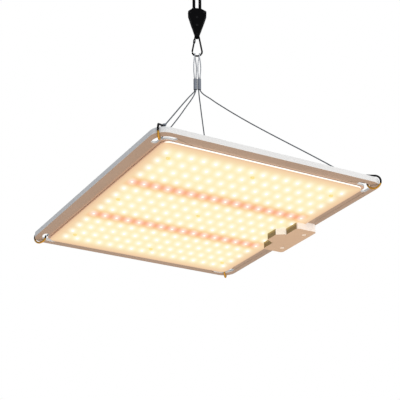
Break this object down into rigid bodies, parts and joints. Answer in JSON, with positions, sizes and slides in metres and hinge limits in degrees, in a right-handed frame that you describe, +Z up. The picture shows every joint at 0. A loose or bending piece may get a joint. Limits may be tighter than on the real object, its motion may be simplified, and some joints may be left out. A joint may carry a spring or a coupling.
{
  "type": "hanging LED grow light",
  "caption": "Rectangular LED panel under a shallow white tray, hung by wire cables, a snap hook and a rope ratchet.",
  "frame": {"origin": "the point inside the top of the upper hook's bow, where a ceiling fitting bears", "axes": "+Z up; +X along the panel's near, shorter edge; +Y across the panel, away from that edge"},
  "size_m": [0.28, 0.34, 0.3875],
  "materials": {
    "white_aluminium": "white powder coat, satin",
    "grey_pad": "matt",
    "white_solder_mask": "white solder mask, satin",
    "white_phosphor": "clear silicone over phosphor, lit",
    "red_phosphor": "clear silicone over a red chip, lit",
    "zinc_screws": "passivated zinc",
    "white_plastic": "fine matt",
    "black_rubber": "matt",
    "driver_aluminium": "bead blasted",
    "black_plastic": "satin",
    "green_board": "green solder mask",
    "yellow_tape": "polyester tape",
    "capacitor_blue": "shrunk sleeve",
    "bright_steel": "bright",
    "wire_cable": "twisted strands under a clear coat",
    "dull_aluminium": "crimped, dull",
    "black_steel": "black finish, satin",
    "black_rope": "braided, matt"
  },
  "bodies": {
    "hanger_top": {"upper_hook": "black_steel", "upper_gate_pin": "bright_steel", "rope_bight": "black_rope", "rope_knot": "black_rope", "rope": "black_rope"},
    "upper_gate": {"upper_gate": "black_steel"},
    "ratchet": {"ratchet_front_shell": "black_plastic", "ratchet_rear_shell": "black_plastic", "ratchet_rivets": "black_steel", "hook_pin": "bright_steel", "wheel_axle": "bright_steel", "pawl_pin": "bright_steel", "pawl_spring": "bright_steel", "rope_bend": "black_rope"},
    "wheel": {"rope_wheel": "bright_steel"},
    "pawl": {"pawl": "black_steel"},
    "lower_hook": {"lower_hook": "black_steel", "lower_gate_pin": "bright_steel"},
    "lower_gate": {"lower_gate": "black_steel"},
    "light": {"heat_sink_tray": "white_aluminium", "thermal_pad": "grey_pad", "diode_board": "white_solder_mask", "white_diodes": "white_phosphor", "red_diodes": "red_phosphor", "board_screws": "zinc_screws", "junction_cover": "white_plastic", "cover_screws": "zinc_screws", "terminal_block": "white_plastic", "lead_grommet": "black_rubber", "supply_lead": "black_rubber", "driver_case": "driver_aluminium", "driver_rear_cap": "black_plastic", "driver_front_cap": "black_plastic", "driver_circuit_board": "green_board", "driver_transformer": "yellow_tape", "driver_capacitors": "capacitor_blue", "driver_screws": "bright_steel", "power_gland": "black_plastic", "output_gland": "black_plastic", "hook_near_left": "black_steel", "hook_near_right": "black_steel", "hook_far_right": "black_steel", "hook_far_left": "black_steel", "corner_pins": "bright_steel", "left_cable": "wire_cable", "right_cable": "wire_cable", "left_top_sleeve": "dull_aluminium", "right_top_sleeve": "dull_aluminium", "end_sleeves": "dull_aluminium"},
    "gate_near_left": {"gate_near_left": "black_steel"},
    "gate_near_right": {"gate_near_right": "black_steel"},
    "gate_far_right": {"gate_far_right": "black_steel"},
    "gate_far_left": {"gate_far_left": "black_steel"}
  },
  "joints": [
    {"name": "height_adjust", "type": "slide", "parent": "hanger_top", "child": "ratchet", "axis": [0, 0, 1], "range_m": [0, 0.03], "deforming": ["rope"]},
    {"name": "wheel_turn", "type": "hinge", "parent": "ratchet", "child": "wheel", "pos_m": [0, 0, -0.1125], "axis": [-0.4695, -0.8829, 0], "range_deg": [0, 280]},
    {"name": "pawl_release", "type": "hinge", "parent": "ratchet", "child": "pawl", "pos_m": [-0.00733, 0.0039, -0.1058], "axis": [-0.4695, -0.8829, 0], "range_deg": [0, 14], "stiffness_Nm_per_rad": 0.01, "springref_deg": -17.19},
    {"name": "hook_swing", "type": "hinge", "parent": "ratchet", "child": "lower_hook", "pos_m": [0, 0, -0.135], "axis": [-0.4695, -0.8829, 0], "range_deg": [-20, 20]},
    {"name": "lower_gate_open", "type": "hinge", "parent": "lower_hook", "child": "lower_gate", "pos_m": [-0.00312, 0.00166, -0.14428], "axis": [-0.4695, -0.8829, 0], "range_deg": [0, 25], "stiffness_Nm_per_rad": 0.01, "springref_deg": -17.19},
    {"name": "light_swing", "type": "hinge", "parent": "lower_hook", "child": "light", "pos_m": [0, 0, -0.16391], "axis": [0.8829, -0.4695, 0], "range_deg": [-20, 20]},
    {"name": "upper_gate_open", "type": "hinge", "parent": "hanger_top", "child": "upper_gate", "pos_m": [0.00462, -0.00246, -0.02184], "axis": [-0.4695, -0.8829, 0], "range_deg": [0, 25], "stiffness_Nm_per_rad": 0.01, "springref_deg": -17.19},
    {"name": "gate_open_near_left", "type": "hinge", "parent": "light", "child": "gate_near_left", "pos_m": [-0.12292, -0.1458, -0.36245], "axis": [-0.8192, 0.5736, 0], "range_deg": [0, 24], "stiffness_Nm_per_rad": 0.01, "springref_deg": -17.19},
    {"name": "gate_open_near_right", "type": "hinge", "parent": "light", "child": "gate_near_right", "pos_m": [0.11865, -0.14781, -0.36666], "axis": [-0.7771, -0.6293, 0], "range_deg": [0, 24], "stiffness_Nm_per_rad": 0.01, "springref_deg": -17.19},
    {"name": "gate_open_far_right", "type": "hinge", "parent": "light", "child": "gate_far_right", "pos_m": [0.1191, 0.14836, -0.36435], "axis": [0.7771, -0.6293, 0], "range_deg": [0, 24], "stiffness_Nm_per_rad": 0.01, "springref_deg": -17.19},
    {"name": "gate_open_far_left", "type": "hinge", "parent": "light", "child": "gate_far_left", "pos_m": [-0.11848, 0.14759, -0.36801], "axis": [0.7771, 0.6293, 0], "range_deg": [0, 24], "stiffness_Nm_per_rad": 0.01, "springref_deg": -17.19}
  ],
  "couplings": [
    {"joint": "wheel_turn", "follows": "height_adjust", "rad_per_m": 161.29}
  ]
}
